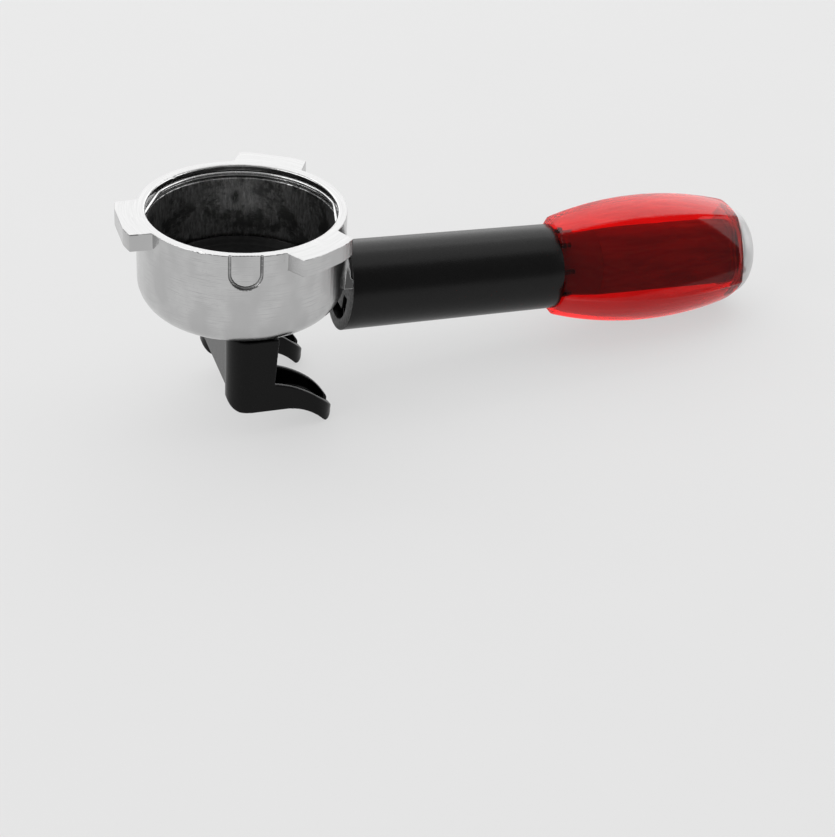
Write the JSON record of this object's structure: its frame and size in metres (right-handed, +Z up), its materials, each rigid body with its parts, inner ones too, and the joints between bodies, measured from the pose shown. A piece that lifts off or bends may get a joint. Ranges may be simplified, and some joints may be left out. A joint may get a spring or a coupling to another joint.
{
  "type": "portafilter",
  "caption": "Espresso portafilter: lugged cast cup with a basket spring, swivelling double spout, black handle tube, red see-through faceted grip and domed end cap.",
  "frame": {"origin": "centre of the rim's top plane, on the cup's axis", "axes": "+Z up out of the cup, +X towards the handle"},
  "size_m": [0.198, 0.07, 0.0617],
  "materials": {
    "cast_metal": "satin casting with a machined rim",
    "spring_wire": "bright drawn wire",
    "insert_plastic": "matt",
    "seal_rubber": "matt",
    "screw_steel": "turned",
    "spout_plastic": "satin gloss",
    "tube_plastic": "satin gloss",
    "grip_red": "polished, see-through",
    "core_plastic": "matt",
    "bolt_steel": "zinc plated",
    "cap_satin": "satin silver"
  },
  "bodies": {
    "head": {"head_casting": "cast_metal", "basket_spring": "spring_wire", "floor_insert": "insert_plastic", "drain_seal": "seal_rubber", "drain_washer": "screw_steel", "spout_seal": "seal_rubber", "handle_tube": "tube_plastic", "grip": "grip_red", "grip_core": "core_plastic", "tie_bolt": "bolt_steel", "bolt_washer": "bolt_steel", "lock_washer": "bolt_steel", "end_cap": "cap_satin"},
    "spout": {"double_spout": "spout_plastic", "drain_screw": "screw_steel"}
  },
  "joints": [
    {"name": "spout_swivel", "type": "hinge", "parent": "head", "child": "spout", "pos_m": [0, 0, -0.031], "axis": [0, 0, 1], "continuous": true}
  ]
}
